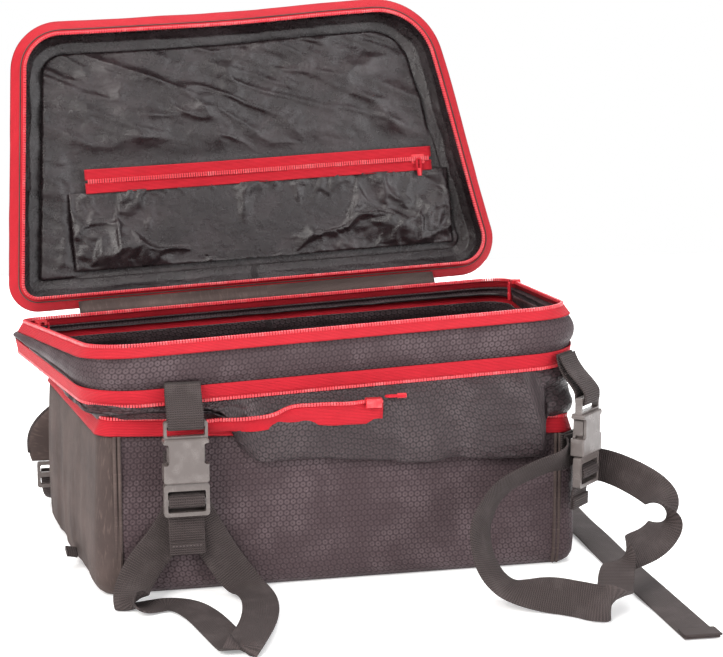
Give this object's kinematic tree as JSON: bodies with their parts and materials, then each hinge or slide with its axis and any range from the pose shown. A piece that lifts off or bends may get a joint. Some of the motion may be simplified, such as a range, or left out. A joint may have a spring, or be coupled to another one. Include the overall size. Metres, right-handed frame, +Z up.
{
  "type": "ski boot bag",
  "caption": "Soft carrying bag for ski boots: padded base, zipped expansion bellows, upper band, hinged lid with inner pocket, buckled compression straps and back harness.",
  "frame": {"origin": "centre of the flat underside of the floor panel, on the surface that the bag stands on", "axes": "+X from left to right along the front, +Y from the front to the back, where the lid is hinged, +Z up"},
  "size_m": [0.4546, 0.5035, 0.4185],
  "materials": {
    "embossed_fabric": "honeycomb-embossed coated polyester, dark warm grey",
    "plain_fabric": "plain woven polyester, dark warm grey",
    "bellows_fabric": "light embossed polyester, slightly shiny",
    "board": "rigid sheet",
    "lining": "black woven nylon",
    "shiny_lining": "shiny black nylon",
    "piping": "fabric-covered cord",
    "red_tape": "woven zip tape, bright red",
    "red_coil": "moulded zip coil, red",
    "red_cord": "thin braided cord",
    "red_slider": "painted zip slider",
    "buckle_plastic": "satin moulded acetal, dark grey",
    "webbing": "ribbed webbing, dark olive grey"
  },
  "bodies": {
    "base": {"front_panel": "embossed_fabric", "back_panel": "plain_fabric", "end_panel_left": "plain_fabric", "end_panel_right": "embossed_fabric", "floor_panel": "plain_fabric", "base_board": "board", "base_liner": "lining", "corner_piping_left": "piping", "corner_piping_right": "piping", "expansion_tape_lower": "red_tape", "expansion_coil_lower": "red_coil", "expansion_zip_tail": "red_tape", "bellows": "bellows_fabric", "strap_anchor_left": "webbing", "strap_anchor_right": "webbing", "strap_loop_left": "webbing", "strap_loop_right": "webbing", "back_pad": "plain_fabric", "shoulder_strap_left": "plain_fabric", "shoulder_strap_right": "plain_fabric", "adjuster_left": "buckle_plastic", "adjuster_right": "buckle_plastic", "harness_tail_left": "webbing", "harness_tail_right": "webbing", "harness_hem": "webbing", "grab_handle": "webbing", "lash_tab": "webbing", "haul_loop": "webbing"},
    "upper": {"band": "embossed_fabric", "band_liner": "lining", "expansion_tape_upper": "red_tape", "expansion_coil_upper": "red_coil", "rim_tape": "red_tape", "rim_coil": "red_coil", "hinge_strip": "plain_fabric", "buckle_female_left": "buckle_plastic", "buckle_female_right": "buckle_plastic", "strap_top_loop_left": "webbing", "strap_top_loop_right": "webbing"},
    "lid": {"lid_shell": "plain_fabric", "lid_lining": "shiny_lining", "lid_rim_tape": "red_tape", "lid_rim_coil": "red_coil", "pocket_tape_upper": "red_tape", "pocket_tape_lower": "red_tape", "pocket_panel": "shiny_lining"},
    "buckle_left": {"buckle_male_left": "buckle_plastic", "strap_tail_left": "webbing", "strap_hem_left": "webbing"},
    "buckle_right": {"buckle_male_right": "buckle_plastic", "strap_tail_right": "webbing", "strap_hem_right": "webbing"},
    "lid_slider_left": {"lid_slider_left": "red_slider"},
    "lid_slider_right": {"lid_slider_right": "red_slider"},
    "lid_pull_left": {"lid_pull_left": "red_cord"},
    "lid_pull_right": {"lid_pull_right": "red_cord"},
    "pocket_slider": {"pocket_slider": "red_slider"},
    "pocket_pull": {"pocket_pull": "red_cord"},
    "expansion_slider": {"expansion_slider": "red_slider"},
    "expansion_pull": {"expansion_pull": "red_cord"}
  },
  "joints": [
    {"name": "expansion", "type": "hinge", "parent": "base", "child": "upper", "pos_m": [-0.217, 0, 0.131], "axis": [0, 1, 0], "range_deg": [-1.5, 4.75], "deforming": ["bellows"]},
    {"name": "lid_hinge", "type": "hinge", "parent": "upper", "child": "lid", "pos_m": [0.00019, 0.11896, 0.17727], "axis": [0.9988, 0, 0.0499], "range_deg": [-60, 95]},
    {"name": "buckle_release_left", "type": "slide", "parent": "upper", "child": "buckle_left", "axis": [0, 0, -1], "range_m": [0, 0.02]},
    {"name": "buckle_release_right", "type": "slide", "parent": "upper", "child": "buckle_right", "axis": [0, 0, -1], "range_m": [0, 0.02]},
    {"name": "lid_zip_left", "type": "slide", "parent": "upper", "child": "lid_slider_left", "axis": [0.1347, -0.9893, 0.0562], "range_m": [0, 0.13]},
    {"name": "lid_pull_swing_left", "type": "hinge", "parent": "lid_slider_left", "child": "lid_pull_left", "pos_m": [-0.19405, 0.07189, 0.1673], "axis": [-0.0025, -0.9988, 0.0498], "range_deg": [0, 110]},
    {"name": "lid_zip_right", "type": "slide", "parent": "upper", "child": "lid_slider_right", "axis": [-0.1105, -0.9929, 0.0441], "range_m": [0, 0.13]},
    {"name": "lid_pull_swing_right", "type": "hinge", "parent": "lid_slider_right", "child": "lid_pull_right", "pos_m": [0.18883, 0.07189, 0.18645], "axis": [0.0025, 0.9988, -0.0498], "range_deg": [0, 110]},
    {"name": "pocket_zip", "type": "slide", "parent": "lid", "child": "pocket_slider", "axis": [-0.9988, 0, -0.0499], "range_m": [0, 0.27]},
    {"name": "pocket_pull_swing", "type": "hinge", "parent": "pocket_slider", "child": "pocket_pull", "pos_m": [0.13292, 0.15505, 0.28606], "axis": [-0.9988, 0, -0.0499], "range_deg": [0, 120]},
    {"name": "expansion_zip", "type": "slide", "parent": "base", "child": "expansion_slider", "axis": [-1, 0, 0], "range_m": [0, 0.04]},
    {"name": "expansion_pull_swing", "type": "hinge", "parent": "expansion_slider", "child": "expansion_pull", "pos_m": [0.0282, -0.1291, 0.1368], "axis": [0, -1, 0], "range_deg": [0, 80]}
  ]
}
